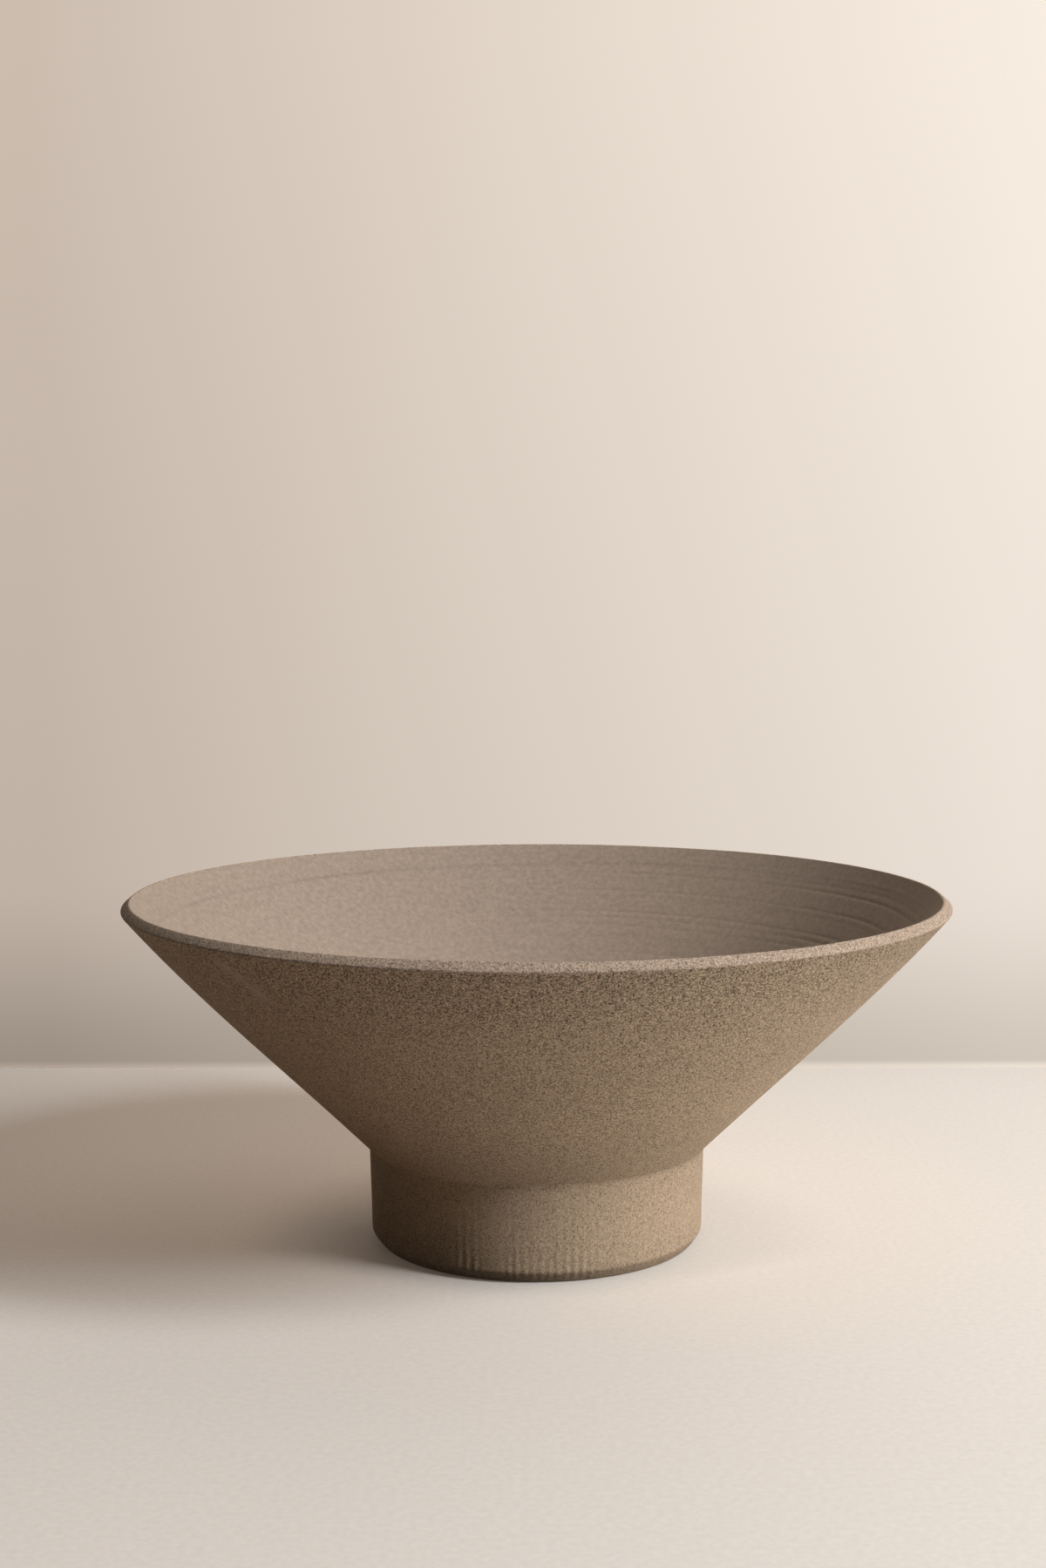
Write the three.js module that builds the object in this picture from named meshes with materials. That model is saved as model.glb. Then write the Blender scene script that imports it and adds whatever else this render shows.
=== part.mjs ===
// A tapered stoneware bowl: a wheel-thrown conical bowl standing on a thrown foot ring.
// The foot's top is mitred to the bowl's underside, and a bed of slip lutes the two together.
// Millimetres, +Z up, with the origin at the centre of the ring that the foot stands on.

import * as THREE from "three";

// Driving dimensions of the bowl
const RIM_DIAMETER = 300; // across the rim's outer edge, before it is rounded
const RIM_HEIGHT = 125; // from the table to that edge
const RIM_WALL = 4.3; // wall at the rim, which is cut square to the wall
const RIM_EDGE = 0.7; // rounding of the two edges of the cut rim
const WALL_BELLY = 3; // how far the upper handle of the wall's curve lies outside a plain cone
const LOWER_WALL = 6.5; // wall where the cone meets the foot
const FLOOR_THICKNESS = 7.5; // bowl's floor over the hollow foot
const FLOOR_SWEEP = 10; // distance up the wall from the foot at which the inside turns into the floor

// Driving dimensions of the foot ring
const FOOT_DIAMETER = 123; // across the foot where it meets the bowl
const FOOT_HEIGHT = 35; // from the table to the line where cone and foot meet
const FOOT_WALL = 9; // thickness of the ring
const FOOT_DRAFT = 0.8; // how much the radius shrinks from that line to the chamfer
const CHAMFER_WIDTH = 3; // undercut at the foot's lower outer edge
const CHAMFER_HEIGHT = 4;
const FOOT_EDGE = 0.8; // rounding of the foot's edges

// Driving dimensions of the slip
const SLIP_BED = 0.8; // height of the bed between the foot's mitre and the bowl
const SLIP_FILLET = 0.6; // how far beyond the bed the sponged slip reaches on the outside
const SLIP_BEAD = 2.2; // how far beyond the bed the squeezed-out bead reaches in the hollow foot

// Fineness of the solids
const TURN_STEPS = 96;
const WALL_STEPS = 8;
const EDGE_STEPS = 3;
const SWEEP_STEPS = 8;

// A section point: radius from the wheel's axis, and height above the table.
const point = (radius, height) => new THREE.Vector2(radius, height);

// The point at a distance from one point towards another.
const towards = (from, to, distance) => to.clone().sub(from).setLength(distance).add(from);

// An arc that rounds corner b of the line a-b-c and touches both sides at a distance of reach from b.
function rounded(a, b, c, reach, steps) {
  const start = towards(b, a, reach);
  const end = towards(b, c, reach);
  const middle = start.clone().add(end).multiplyScalar(0.5);
  const halfAngle = Math.asin(start.distanceTo(end) / 2 / reach);
  const centre = towards(b, middle, reach / Math.cos(halfAngle));
  const side = Math.sign(start.clone().sub(b).cross(end.clone().sub(b)));
  const step = (side * (2 * halfAngle - Math.PI)) / steps;
  const arc = [start];
  for (let i = 1; i < steps; i += 1) arc.push(start.clone().rotateAround(centre, step * i));
  return [...arc, end];
}

// The wall's outer line climbs from the foot to the rim, straight at first and then a little steeper.
const jointLine = point(FOOT_DIAMETER / 2, FOOT_HEIGHT);
const rimEdge = point(RIM_DIAMETER / 2, RIM_HEIGHT);
const climb = rimEdge.clone().sub(jointLine);
const outward = point(climb.y, -climb.x).normalize();
const outerWall = new THREE.CubicBezierCurve(
  jointLine,
  jointLine.clone().addScaledVector(climb, 1 / 3),
  jointLine.clone().addScaledVector(climb, 2 / 3).addScaledVector(outward, WALL_BELLY),
  rimEdge,
);

// The inner line follows the outer one at the wall's thickness, which tapers evenly up to the rim.
function innerWall(t) {
  const along = outerWall.getTangent(t);
  const thickness = THREE.MathUtils.lerp(LOWER_WALL, RIM_WALL, t);
  return outerWall.getPoint(t).addScaledVector(point(-along.y, along.x), thickness);
}

// The seat continues the cone under the bowl, across the thickness of the foot ring.
const coneSlope = climb.y / climb.x;
const seatInner = point(jointLine.x - FOOT_WALL, jointLine.y - FOOT_WALL * coneSlope);
const mitreOuter = point(jointLine.x, jointLine.y - SLIP_BED);
const mitreInner = point(seatInner.x, seatInner.y - SLIP_BED);

// The foot's outside, with the chamfer that lifts its lower edge off the table.
const chamferTop = point(jointLine.x - FOOT_DRAFT, CHAMFER_HEIGHT);
const standingOuter = point(chamferTop.x - CHAMFER_WIDTH, 0);
const standingInner = point(seatInner.x, 0);

// Lines on which the slip ends: on the cone, on the foot's outside, and either side of the inner corner.
const filletReach = SLIP_BED + SLIP_FILLET;
const beadReach = SLIP_BED + SLIP_BEAD;
const firstWallPoint = outerWall.getPoint(1 / WALL_STEPS);
const filletTop = towards(jointLine, firstWallPoint, filletReach);
const filletFoot = towards(mitreOuter, chamferTop, SLIP_FILLET);
const beadTop = point(seatInner.x - beadReach, seatInner.y);
const beadFoot = point(mitreInner.x, seatInner.y - beadReach);

// The bowl's section: underside, seat, outer wall, cut rim, inner wall and floor.
function bowlSection() {
  const sharpLip = innerWall(1);
  const outer = [];
  const inner = [];
  const sweepStart = outerWall.getUtoTmapping(0, FLOOR_SWEEP);
  for (let i = 1; i < WALL_STEPS; i += 1) {
    outer.push(outerWall.getPoint(i / WALL_STEPS));
    inner.push(innerWall(THREE.MathUtils.lerp(1, sweepStart, i / WALL_STEPS)));
  }
  const floorHeight = seatInner.y + FLOOR_THICKNESS;
  const turn = innerWall(sweepStart);
  const downhill = turn.clone().sub(inner.at(-1));
  const floorCorner = turn.clone().addScaledVector(downhill, (floorHeight - turn.y) / downhill.y);
  const floorCentre = point(0, floorHeight);
  return [
    point(0, seatInner.y),
    beadTop,
    seatInner,
    jointLine,
    filletTop,
    ...outer,
    ...rounded(outer.at(-1), rimEdge, sharpLip, RIM_EDGE, EDGE_STEPS),
    ...rounded(rimEdge, sharpLip, inner[0], RIM_EDGE, EDGE_STEPS),
    ...inner,
    ...rounded(turn, floorCorner, floorCentre, turn.distanceTo(floorCorner), SWEEP_STEPS),
    floorCentre,
  ];
}

// The foot ring's section: standing face, chamfer, outside, mitred top and hollow inside.
function footSection() {
  const section = [
    ...rounded(standingInner, standingOuter, chamferTop, FOOT_EDGE, EDGE_STEPS),
    ...rounded(standingOuter, chamferTop, filletFoot, FOOT_EDGE, EDGE_STEPS),
    filletFoot,
    mitreOuter,
    mitreInner,
    beadFoot,
    ...rounded(beadFoot, standingInner, standingOuter, FOOT_EDGE, EDGE_STEPS),
  ];
  return [...section, section[0]];
}

// The slip's section: a bed over the mitre, sponged to a fillet outside and left as a bead inside.
function slipSection() {
  const fillet = rounded(filletFoot, jointLine, filletTop, filletReach, EDGE_STEPS).slice(1, -1);
  const bead = rounded(beadTop, seatInner, beadFoot, beadReach, EDGE_STEPS).slice(1, -1);
  const section = [
    filletFoot,
    ...fillet,
    filletTop,
    jointLine,
    seatInner,
    beadTop,
    ...bead,
    beadFoot,
    mitreInner,
    mitreOuter,
  ];
  return [...section, section[0]];
}

// Unglazed clay, as it comes out of the kiln
const stoneware = new THREE.MeshStandardMaterial({ color: 0xa08a74, roughness: 0.85, metalness: 0 });
const slip = new THREE.MeshStandardMaterial({ color: 0x98826c, roughness: 0.9, metalness: 0 });

function thrown(name, section, material) {
  const mesh = new THREE.Mesh(new THREE.LatheGeometry(section, TURN_STEPS), material);
  mesh.name = name;
  return mesh;
}

// Sections are turned about their own upright axis, Y, so the group lays that axis on +Z.
const taperedBowl = new THREE.Group();
taperedBowl.rotation.x = Math.PI / 2;
taperedBowl.add(
  thrown("bowl", bowlSection(), stoneware),
  thrown("foot_ring", footSection(), stoneware),
  thrown("slip_joint", slipSection(), slip),
);

const part = new THREE.Group();
part.add(taperedBowl);
export default part;
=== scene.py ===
# %% [markdown]
# A tapered bowl in unglazed stoneware: a thrown cone, luted with slip to a thrown foot ring.
# This lesson rebuilds it as a potter would, by drawing each piece's section and turning it on a wheel.
# The solids that carry its size and weight come in first, and stay in the file as a fixed frame.

# %% Load the frame
import math

import bpy
from mathutils import Matrix, Vector


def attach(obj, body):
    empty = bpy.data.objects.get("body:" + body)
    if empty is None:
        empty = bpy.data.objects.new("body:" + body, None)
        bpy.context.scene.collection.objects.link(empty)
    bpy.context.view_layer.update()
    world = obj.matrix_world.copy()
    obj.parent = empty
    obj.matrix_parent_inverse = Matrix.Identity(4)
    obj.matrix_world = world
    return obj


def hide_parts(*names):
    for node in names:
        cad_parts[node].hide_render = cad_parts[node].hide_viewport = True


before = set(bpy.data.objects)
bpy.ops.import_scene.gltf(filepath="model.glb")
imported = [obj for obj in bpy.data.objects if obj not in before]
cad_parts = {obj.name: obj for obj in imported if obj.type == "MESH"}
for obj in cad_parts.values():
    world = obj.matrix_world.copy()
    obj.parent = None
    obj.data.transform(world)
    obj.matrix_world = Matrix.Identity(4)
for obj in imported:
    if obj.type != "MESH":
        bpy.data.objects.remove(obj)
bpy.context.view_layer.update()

MM = 0.001

# %% [markdown]
# The camera comes first, because everything is judged through it. The bowl was seen from a little above
# its rim with a normal lens. Where the far rim, the near rim and the foot lie in the picture gives the
# camera's height, distance and tilt, so these are measured values and not ones set by eye.

# %% Camera
CAMERA_PLACE = Vector((0, -790.25, 240.85)) * MM
CAMERA_TILT = math.radians(5.31)
CAMERA_TURN = math.radians(0.338)
CAMERA_ROLL = math.radians(-0.155)
LENS = 50
SENSOR = 36

camera = bpy.data.objects.new("camera", bpy.data.cameras.new("camera"))
camera.data.lens = LENS
camera.data.sensor_width = SENSOR
turn = Matrix.Rotation(CAMERA_TURN, 4, "Z")
tilt = Matrix.Rotation(math.pi / 2 - CAMERA_TILT, 4, "X")
roll = Matrix.Rotation(CAMERA_ROLL, 4, "Z")
camera.matrix_world = Matrix.Translation(CAMERA_PLACE) @ turn @ tilt @ roll
bpy.context.scene.collection.objects.link(camera)
bpy.context.scene.camera = camera
print("camera", round(CAMERA_PLACE.length, 3), "m from the foot's centre")

# %% [markdown]
# A thrown pot is a section turned about the wheel's axis. A section here is a list of rows, from the
# middle of the underside, up the outside, over the rim and down the inside. Two helpers draw them:
# one walks evenly along a line, and one rounds a corner with an arc, as a wet sponge or a finger does.

# %% Helpers that draw a section, in millimetres
def point(radius, height):
    return Vector((radius, height))


def towards(start, end, distance):
    return start + (end - start).normalized() * distance


def steps(start, end, count):
    return [start.lerp(end, i / count) for i in range(1, count + 1)]


def rounded(before, corner, after, reach, count):
    first = towards(corner, before, reach)
    last = towards(corner, after, reach)
    half = (first - corner).angle(last - corner) / 2
    centre = towards(corner, (first + last) / 2, reach / math.cos(half))
    sweep_angle = math.copysign(math.pi - 2 * half, -(first - corner).cross(last - corner))
    arc = []
    for i in range(count + 1):
        arm = first - centre
        arm.rotate(Matrix.Rotation(sweep_angle * i / count, 2))
        arc.append(centre + arm)
    return arc


corner_arc = rounded(point(0, 1), point(0, 0), point(1, 0), 1, 4)
print("a square corner rounded by 1 mm:", len(corner_arc), "points")

# %% [markdown]
# The sizes are those of the solids. The wall is a cone that steepens slightly towards the rim, so its
# line is one Bezier curve. The inside follows it at the wall's thickness, thin at the rim and thick below.

# %% The wall's line
RIM = point(150, 125)
JOINT = point(61.5, 35)
WALL_BELLY = 3
RIM_WALL = 4.3
LOWER_WALL = 6.5
FOOT_WALL = 9
NUDGE = 0.001

climb = RIM - JOINT
outward = point(climb.y, -climb.x).normalized()
handles = [JOINT, JOINT + climb / 3, JOINT + climb * 2 / 3 + outward * WALL_BELLY, RIM]


def outer_wall(t):
    weights = ((1 - t) ** 3, 3 * t * (1 - t) ** 2, 3 * t * t * (1 - t), t ** 3)
    return sum((h * w for h, w in zip(handles, weights)), point(0, 0))


def inner_wall(t):
    uphill = (outer_wall(min(t + NUDGE, 1)) - outer_wall(max(t - NUDGE, 0))).normalized()
    return outer_wall(t) + point(-uphill.y, uphill.x) * (LOWER_WALL + (RIM_WALL - LOWER_WALL) * t)


seat_inner = point(JOINT.x - FOOT_WALL, JOINT.y - FOOT_WALL * climb.y / climb.x)
print("wall", round(climb.length, 1), "mm long, seat's inner edge at height", round(seat_inner.y, 1))

# %% [markdown]
# The bowl's rows are drawn close together where the shape is fine, at the rim's two edges and in the upper
# inside, where low ridges have to show, and wider apart elsewhere. Each row also says what the surface is
# there, which the turning and the clay's finish both read later.

# %% The bowl's section
RIM_EDGE = 0.7
FLOOR_THICKNESS = 7.5
FLOOR_SWEEP = 10
FILLET_REACH = 1.4
LIP_ZONE = 64
BAND_EDGE = 0.2
MEASURE_STEPS = 200
UNDER_STEPS = 44
OUTER_STEPS = 46
LIP_STEPS = 116
LOWER_STEPS = 64
FLOOR_STEPS = 26
RIM_STEPS = 5

measured = [outer_wall(i / MEASURE_STEPS) for i in range(MEASURE_STEPS + 1)]
wall_length = sum((b - a).length for a, b in zip(measured, measured[1:]))
fillet_share = FILLET_REACH / wall_length
lip_share = 1 - LIP_ZONE / wall_length
sweep_share = FLOOR_SWEEP / wall_length
under_middle = point(0, seat_inner.y)
floor_middle = point(0, seat_inner.y + FLOOR_THICKNESS)
fillet_top = outer_wall(fillet_share)
lip = inner_wall(1)

under = [under_middle] + steps(under_middle, seat_inner, UNDER_STEPS)
outer = [fillet_top] + [outer_wall(fillet_share + i / OUTER_STEPS) for i in range(1, OUTER_STEPS - 1)]
inner = [inner_wall(1 + (lip_share - 1) * i / LIP_STEPS) for i in range(2, LIP_STEPS + 1)]
lower_span = sweep_share - lip_share
inner += [inner_wall(lip_share + lower_span * i / LOWER_STEPS) for i in range(1, LOWER_STEPS)]
print("outer line", round(wall_length, 1), "mm long, inside drawn in", len(inner), "rows")

# %% The bowl's floor and rim
sweep_top = inner_wall(sweep_share)
downhill = sweep_top - inner[-1]
floor_corner = sweep_top + downhill * ((floor_middle.y - sweep_top.y) / downhill.y)
sweep_reach = (sweep_top - floor_corner).length
sweep = rounded(sweep_top, floor_corner, floor_middle, sweep_reach, FLOOR_STEPS)
floor = steps(sweep[-1], floor_middle, FLOOR_STEPS)
rim = rounded(outer[-1], RIM, lip, RIM_EDGE, RIM_STEPS)
rim += rounded(RIM, lip, inner[0], RIM_EDGE, RIM_STEPS)
outer.append(towards(rim[0], outer[-1], BAND_EDGE))
inner.insert(0, towards(rim[-1], inner[0], BAND_EDGE))

bowl_rows = [(p, "under") for p in under] + [(JOINT, "seat")] + [(p, "outside") for p in outer]
bowl_rows += [(p, "rim") for p in rim] + [(p, "inside") for p in inner + sweep + floor]
print("bowl:", len(bowl_rows), "rows")

# %% [markdown]
# The foot is a ring whose top is mitred to lie under the cone. Its lower outer edge is cut away, so that
# it doesn't chip and throws a dark line on the table. The slip fills the thin bed between the two,
# smoothed to a small hollow outside and left as a bead where no one sees it.

# %% The lines where foot ring and slip meet
FOOT_DRAFT = 0.8
CHAMFER = point(3, 4)
SLIP_BED = 0.8
BEAD_REACH = 3

mitre_outer = JOINT - point(0, SLIP_BED)
mitre_inner = seat_inner - point(0, SLIP_BED)
chamfer_top = point(JOINT.x - FOOT_DRAFT, CHAMFER.y)
standing_outer = point(chamfer_top.x - CHAMFER.x, 0)
standing_inner = point(seat_inner.x, 0)
standing_middle = (standing_outer + standing_inner) / 2
fillet_foot = towards(mitre_outer, chamfer_top, FILLET_REACH - SLIP_BED)
bead_top = seat_inner - point(BEAD_REACH, 0)
bead_foot = seat_inner - point(0, BEAD_REACH)
print("foot stands on a ring", round(standing_outer.x - standing_inner.x, 1), "mm wide")

# %% The sections of foot ring and slip
FOOT_EDGE = 0.8
FOOT_EDGE_STEPS = 4
CHAMFER_STEPS = 3
FOOT_STEPS = 40
HOLLOW_STEPS = 16
SLIP_STEPS = 8

lower_edge = rounded(standing_inner, standing_outer, chamfer_top, FOOT_EDGE, FOOT_EDGE_STEPS)
chamfer_edge = rounded(standing_outer, chamfer_top, fillet_foot, FOOT_EDGE, FOOT_EDGE_STEPS)
inner_edge = rounded(bead_foot, standing_inner, standing_outer, FOOT_EDGE, FOOT_EDGE_STEPS)
chamfer = steps(lower_edge[-1], chamfer_edge[0], CHAMFER_STEPS)[:-1] + chamfer_edge
foot_rows = [(p, "standing") for p in [standing_middle] + lower_edge]
foot_rows += [(p, "outside") for p in chamfer + steps(chamfer_edge[-1], fillet_foot, FOOT_STEPS)]
foot_rows += [(p, "seat") for p in [mitre_outer, mitre_inner, bead_foot]]
foot_rows += [(p, "under") for p in steps(bead_foot, inner_edge[0], HOLLOW_STEPS)[:-1]]
foot_rows += [(p, "standing") for p in inner_edge + [standing_middle]]

fillet = rounded(fillet_foot, JOINT, fillet_top, FILLET_REACH, SLIP_STEPS)[1:-1]
bead = rounded(bead_top, seat_inner, bead_foot, BEAD_REACH, SLIP_STEPS)[1:-1]
slip_line = [mitre_inner, mitre_outer, fillet_foot] + fillet + [fillet_top, JOINT, seat_inner, bead_top]
slip_rows = [(p, "seat") for p in slip_line + bead + [bead_foot, mitre_inner]]
print("foot ring:", len(foot_rows), "rows; slip:", len(slip_rows), "rows")

# %% [markdown]
# The wheel is a Geometry Nodes tree. It lays a flat grid, takes the grid's X as the turn round the wheel
# and its Y as the row of the section, and bends it into a pot. A Screw modifier would turn a section too,
# but a tree can also press in what a hand leaves: low ridges that climb the wall in one spiral, a scored
# line that leans below the lip, ripples where the trimming tool chattered, and a slight unevenness.
# One small function adds every node, here and in the materials. Where a node has many inputs, a dict of
# them takes the node's name first.

# %% The function that adds a node
def add(tree, kind, inputs=None, **settings):
    node = tree.nodes.new(kind)
    for name, value in settings.items():
        setattr(node, name, value)
    for key, value in (inputs or {}).items():
        named = [s for s in node.inputs if s.enabled and s.name == key]
        socket = named[0] if named else node.inputs[key]
        if isinstance(value, bpy.types.Node):
            value = next(s for s in value.outputs if s.enabled)
        if isinstance(value, bpy.types.NodeSocket):
            tree.links.new(value, socket)
        else:
            socket.default_value = value
    return node


# %% The wheel's inputs and its flat grid
WHEEL_INPUTS = {
    "Section": "NodeSocketGeometry",
    "Columns": "NodeSocketInt",
    "Line pitch": "NodeSocketFloat",
    "Line depth": "NodeSocketFloat",
    "Groove place": "NodeSocketFloat",
    "Groove lean": "NodeSocketFloat",
    "Groove width": "NodeSocketFloat",
    "Groove depth": "NodeSocketFloat",
    "Ripples": "NodeSocketFloat",
    "Ripple depth": "NodeSocketFloat",
    "Unevenness": "NodeSocketFloat",
    "Clay": "NodeSocketMaterial",
}

wheel = bpy.data.node_groups.new("wheel", "GeometryNodeTree")
sockets = {}
for name, kind in WHEEL_INPUTS.items():
    sockets[name] = wheel.interface.new_socket(name, in_out="INPUT", socket_type=kind)
wheel.interface.new_socket("Piece", in_out="OUTPUT", socket_type="NodeSocketGeometry")
given = add(wheel, "NodeGroupInput").outputs

rows = add(wheel, "GeometryNodeAttributeDomainSize", {"Geometry": given["Section"]})
edges = add(wheel, "FunctionNodeIntegerMath", {0: given["Columns"], 1: 1}, operation="ADD")
sheet = {"Size X": math.tau, "Size Y": 1.0, "Vertices X": edges, "Vertices Y": rows}
grid = add(wheel, "GeometryNodeMeshGrid", sheet)
number = add(wheel, "GeometryNodeInputIndex")
row = add(wheel, "FunctionNodeIntegerMath", {0: number, 1: rows}, operation="MODULO")
position = add(wheel, "GeometryNodeInputPosition")
turn_angle = add(wheel, "ShaderNodeSeparateXYZ", {0: position}).outputs["X"]
print("wheel takes", len(sockets), "inputs")

# %% Read the section's rows on the wheel
ROW_VALUES = ("along", "line", "groove", "ripple", "free", "inside", "rim")

around = {}
for name, offset in (("before", -1), ("here", 0), ("after", 1)):
    nearby = add(wheel, "FunctionNodeIntegerMath", {0: row, 1: offset}, operation="ADD")
    found = {"Geometry": given["Section"], "Value": position, "Index": nearby}
    around[name] = add(wheel, "GeometryNodeSampleIndex", found, data_type="FLOAT_VECTOR", clamp=True)
mark = {}
for name in ROW_VALUES:
    stored = add(wheel, "GeometryNodeInputNamedAttribute", {"Name": name}, data_type="FLOAT")
    found = {"Geometry": given["Section"], "Value": stored, "Index": row}
    mark[name] = add(wheel, "GeometryNodeSampleIndex", found, data_type="FLOAT", clamp=True)

rise = {0: around["after"], 1: around["before"]}
rise = add(wheel, "ShaderNodeVectorMath", rise, operation="SUBTRACT")
facing = add(wheel, "ShaderNodeVectorMath", {0: rise, 1: (0, 1, 0)}, operation="CROSS_PRODUCT")
facing = add(wheel, "ShaderNodeVectorMath", {0: facing}, operation="NORMALIZE")
spin = add(wheel, "ShaderNodeCombineXYZ", {"Z": turn_angle})
smooth_place = {"Vector": around["here"], "Rotation": spin}
smooth_place = add(wheel, "ShaderNodeVectorRotate", smooth_place, rotation_type="EULER_XYZ")
print("rows carry", len(mark), "values")

# %% [markdown]
# A throwing ridge is a spiral, so its phase falls by one for every turn and grows by one for every pitch
# along the wall. No hand is even, so noise in the clay's own space moves the phase and fades the depth,
# and noise along the wall sets the ridges now closer and now further apart, some bold and some faint.
# In a Map Range node, inputs 1 and 2 are the range that is read, and 3 and 4 the range that is given.

# %% Throwing ridges
HAND_SIZE = 55 * MM
NOISE_MIDDLE = 0.5
PHASE_WANDER = 0.9
DRIFT_SCALE = 0.55
DRIFT = {3: -0.9, 4: 0.9}
RIDGE_SHARPNESS = 3.5
FADE = {1: 0.3, 2: 0.7, 3: 0.35, 4: 1.3}
BOLDNESS_SCALE = 1.1
BOLDNESS = {1: 0.35, 2: 0.65, 3: 0.4, 4: 1.4}

hand = {"Vector": smooth_place, "Scale": 1 / HAND_SIZE, "Detail": 1.0}
hand = add(wheel, "ShaderNodeTexNoise", hand)
wander = add(wheel, "ShaderNodeMath", {0: hand, 1: NOISE_MIDDLE}, operation="SUBTRACT")
fade = add(wheel, "ShaderNodeMapRange", {"Value": hand, **FADE})
climbed = {0: mark["along"], 1: given["Line pitch"]}
climbed = add(wheel, "ShaderNodeMath", climbed, operation="DIVIDE")
turned = add(wheel, "ShaderNodeMath", {0: turn_angle, 1: math.tau}, operation="DIVIDE")
phase = add(wheel, "ShaderNodeMath", {0: climbed, 1: turned}, operation="SUBTRACT")
phase = add(wheel, "ShaderNodeMath", {0: wander, 1: PHASE_WANDER, 2: phase}, operation="MULTIPLY_ADD")
drift = {"W": climbed, "Scale": DRIFT_SCALE, "Detail": 0.0}
drift = add(wheel, "ShaderNodeTexNoise", drift, noise_dimensions="1D")
drift = add(wheel, "ShaderNodeMapRange", {"Value": drift, **DRIFT})
phase = add(wheel, "ShaderNodeMath", {0: phase, 1: drift}, operation="ADD")
wave = add(wheel, "ShaderNodeMath", {0: phase, 1: math.tau}, operation="MULTIPLY")
wave = add(wheel, "ShaderNodeMath", {0: wave}, operation="COSINE")
wave = add(wheel, "ShaderNodeMath", {0: wave, 1: 0.5, 2: 0.5}, operation="MULTIPLY_ADD")
wave = add(wheel, "ShaderNodeMath", {0: wave, 1: RIDGE_SHARPNESS}, operation="POWER")
boldness = {"W": climbed, "Scale": BOLDNESS_SCALE, "Detail": 0.0}
boldness = add(wheel, "ShaderNodeTexNoise", boldness, noise_dimensions="1D")
boldness = add(wheel, "ShaderNodeMapRange", {"Value": boldness, **BOLDNESS})
ridge = wave
for share in (boldness, fade, mark["line"], given["Line depth"]):
    ridge = add(wheel, "ShaderNodeMath", {0: ridge, 1: share}, operation="MULTIPLY")
print("ridges: noise", round(HAND_SIZE / MM), "mm wide moves them")

# %% [markdown]
# Below the lip a line was scored while the wheel turned, a little aslant. A ring cut with a Boolean would
# be too sharp, so the distance to a leaning line is turned into a shallow hollow with soft sides.

# %% The scored line below the lip
GROOVE_WANDER = 2 * MM

lean = add(wheel, "ShaderNodeMath", {0: turn_angle}, operation="COSINE")
off = {0: mark["along"], 1: given["Groove place"]}
off = add(wheel, "ShaderNodeMath", off, operation="SUBTRACT")
off = add(wheel, "ShaderNodeMath", {0: lean, 1: given["Groove lean"], 2: off}, operation="MULTIPLY_ADD")
off = add(wheel, "ShaderNodeMath", {0: wander, 1: GROOVE_WANDER, 2: off}, operation="MULTIPLY_ADD")
off = add(wheel, "ShaderNodeMath", {0: off, 1: given["Groove width"]}, operation="DIVIDE")
off = add(wheel, "ShaderNodeMath", {0: off, 1: off}, operation="MULTIPLY")
off = add(wheel, "ShaderNodeMath", {0: off, 1: -1.0}, operation="MULTIPLY")
scored = add(wheel, "ShaderNodeMath", {0: off}, operation="EXPONENT")
for share in (mark["groove"], fade):
    scored = add(wheel, "ShaderNodeMath", {0: scored, 1: share}, operation="MULTIPLY")
groove = {0: scored, 1: given["Groove depth"]}
groove = add(wheel, "ShaderNodeMath", groove, operation="MULTIPLY")
print("scored line wanders within", round(GROOVE_WANDER / MM), "mm")

# %% [markdown]
# A trimming tool that jumps on leather-hard clay leaves upright ripples, here on the foot's outside. They
# are a wave in the turn, broken up by noise that is stretched upright, so that no two are quite alike.
# The unevenness is what stays of the hand's own wobble, and it is slow and wide.

# %% Chatter ripples and unevenness
RIPPLE_WANDER = 9.0
STRAND_SIZE = 7 * MM
STRAND_STRETCH = (1, 1, 0.12)
STRAND = {1: 0.35, 2: 0.65, 3: 0.2, 4: 1.7}

strand = {0: smooth_place, 1: STRAND_STRETCH}
strand = add(wheel, "ShaderNodeVectorMath", strand, operation="MULTIPLY")
strand = {"Vector": strand, "Scale": 1 / STRAND_SIZE, "Detail": 1.0}
strand = add(wheel, "ShaderNodeTexNoise", strand)
strand = add(wheel, "ShaderNodeMapRange", {"Value": strand, **STRAND})
ripple = add(wheel, "ShaderNodeMath", {0: turn_angle, 1: given["Ripples"]}, operation="MULTIPLY")
ripple = add(wheel, "ShaderNodeMath", {0: wander, 1: RIPPLE_WANDER, 2: ripple}, operation="MULTIPLY_ADD")
ripple = add(wheel, "ShaderNodeMath", {0: ripple}, operation="COSINE")
for share in (mark["ripple"], strand, fade, given["Ripple depth"]):
    ripple = add(wheel, "ShaderNodeMath", {0: ripple, 1: share}, operation="MULTIPLY")
uneven = wander
for share in (mark["free"], given["Unevenness"]):
    uneven = add(wheel, "ShaderNodeMath", {0: uneven, 1: share}, operation="MULTIPLY")
print("ripples break up every", round(STRAND_SIZE / MM), "mm or so")

# %% [markdown]
# All marks together move a point of the section straight out of its surface, and then the section is
# turned. Merging points that lie on each other closes the seam and the two poles. Folds of more than
# 40 degrees stay crisp, as where two pieces meet, and all else is shaded smooth.

# %% Bend the grid into the piece
SHARP_ANGLE = math.radians(40)
MERGE_REACH = 0.001 * MM

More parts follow.
